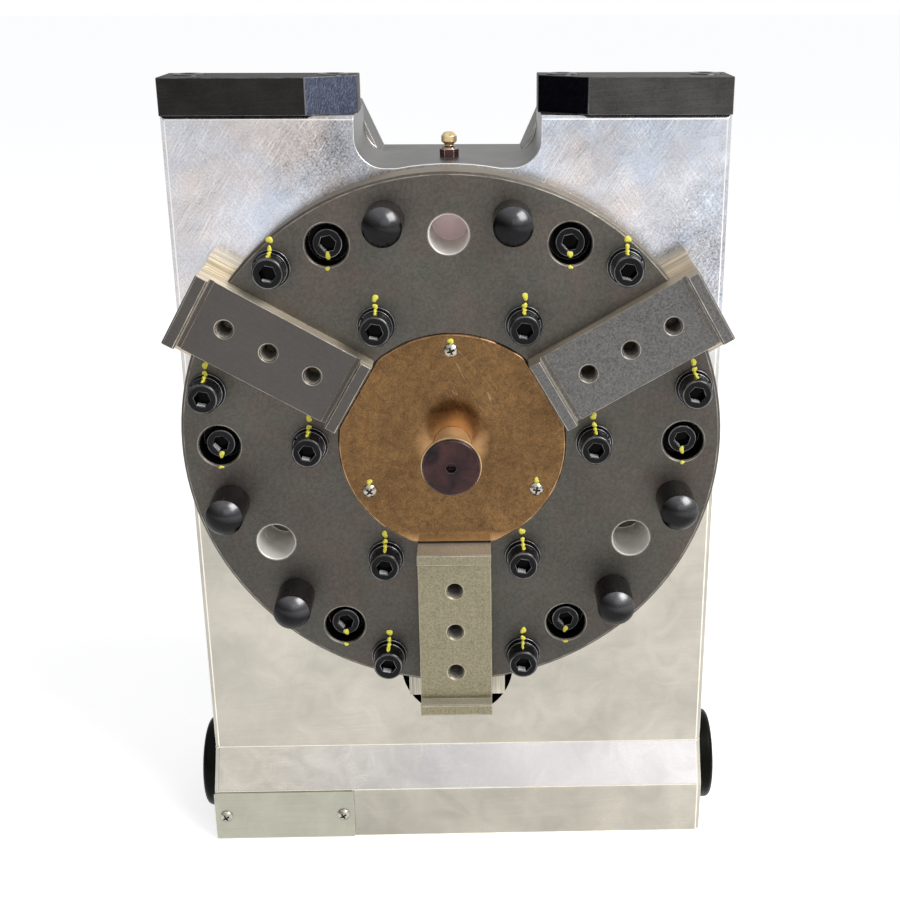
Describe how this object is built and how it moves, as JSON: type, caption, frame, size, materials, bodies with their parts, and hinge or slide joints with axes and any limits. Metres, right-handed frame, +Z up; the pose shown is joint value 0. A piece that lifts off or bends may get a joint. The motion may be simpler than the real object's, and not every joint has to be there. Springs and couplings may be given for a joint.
{
  "type": "three jaw centric gripper",
  "caption": "Pneumatic centric gripper block: jaws slide outwards together on a round plate, driven by a hidden piston and wedge, round a sprung ejector plunger.",
  "frame": {"origin": "middle of the overall box at the foot's sole", "axes": "+Z up, the gripping face looks towards -Y, +X to the right seen from the front; the gripping axis lies along Y, 202 mm above the ground"},
  "size_m": [0.246, 0.126, 0.3525],
  "materials": {
    "housing_aluminium": "milled",
    "rear_aluminium": "turned",
    "plate_steel": "ground and browned",
    "cover_bronze": "satin",
    "jaw_steel": "ground and hardened",
    "black_screws": "black oxide",
    "black_washers": "black oxide",
    "pin_steel": "black oxide, polished domes",
    "nickel_screws": "nickel plated",
    "plunger_brass": "turned",
    "plunger_black": "black oxide, polished",
    "sleeve_steel": "turned",
    "spring_steel": "drawn wire",
    "wedge_steel": "hardened",
    "piston_aluminium": "turned",
    "seal_rubber": "moulded",
    "bush_bronze": "turned",
    "dowel_steel": "ground",
    "bar_black": "black anodised",
    "cap_black": "moulded",
    "label_aluminium": "anodised",
    "nipple_brass": "turned",
    "marking_paint": "brushed-on witness marks"
  },
  "bodies": {
    "gripper_body": {"housing": "housing_aluminium", "face_plate": "plate_steel", "centre_cover": "cover_bronze", "cover_screws": "nickel_screws", "plate_screws": "black_screws", "flat_washers": "black_washers", "spring_washers": "black_washers", "recessed_screws": "black_screws", "rest_pins": "pin_steel", "plunger_sleeve": "sleeve_steel", "plunger_spring": "spring_steel", "rod_bush": "bush_bronze", "rod_seal": "seal_rubber", "rear_cover": "rear_aluminium", "rear_cover_seal": "seal_rubber", "rear_cover_screws": "black_screws", "locating_dowels": "dowel_steel", "top_bar_left": "bar_black", "top_bar_right": "bar_black", "top_bar_screws": "black_screws", "side_cap_left": "cap_black", "side_cap_right": "cap_black", "label_plate": "label_aluminium", "label_screws": "nickel_screws", "grease_nipple": "nipple_brass"},
    "drive": {"piston": "piston_aluminium", "piston_seal": "seal_rubber", "piston_bolts": "black_screws", "wedge_hook": "wedge_steel"},
    "jaw_right_slider": {"jaw_right": "jaw_steel"},
    "jaw_left_slider": {"jaw_left": "jaw_steel"},
    "jaw_lower_slider": {"jaw_lower": "jaw_steel"},
    "plunger": {"plunger_stem": "plunger_brass", "plunger_flange": "plunger_brass", "plunger_cap": "plunger_black"}
  },
  "joints": [
    {"name": "piston_slide", "type": "slide", "parent": "gripper_body", "child": "drive", "axis": [0, -1, 0], "range_m": [0, 0.01]},
    {"name": "jaw_right_slide", "type": "slide", "parent": "gripper_body", "child": "jaw_right_slider", "axis": [0.866, 0, 0.5], "range_m": [0, 0.008]},
    {"name": "jaw_left_slide", "type": "slide", "parent": "gripper_body", "child": "jaw_left_slider", "axis": [-0.866, 0, 0.5], "range_m": [0, 0.008]},
    {"name": "jaw_lower_slide", "type": "slide", "parent": "gripper_body", "child": "jaw_lower_slider", "axis": [0, 0, -1], "range_m": [0, 0.008]},
    {"name": "plunger_slide", "type": "slide", "parent": "gripper_body", "child": "plunger", "axis": [0, 1, 0], "range_m": [0, 0.006], "stiffness_N_per_m": 1500, "springref_m": -0.004, "deforming": ["plunger_spring"]}
  ],
  "couplings": [
    {"joint": "jaw_right_slide", "follows": "piston_slide", "ratio": 0.8},
    {"joint": "jaw_left_slide", "follows": "piston_slide", "ratio": 0.8},
    {"joint": "jaw_lower_slide", "follows": "piston_slide", "ratio": 0.8}
  ]
}
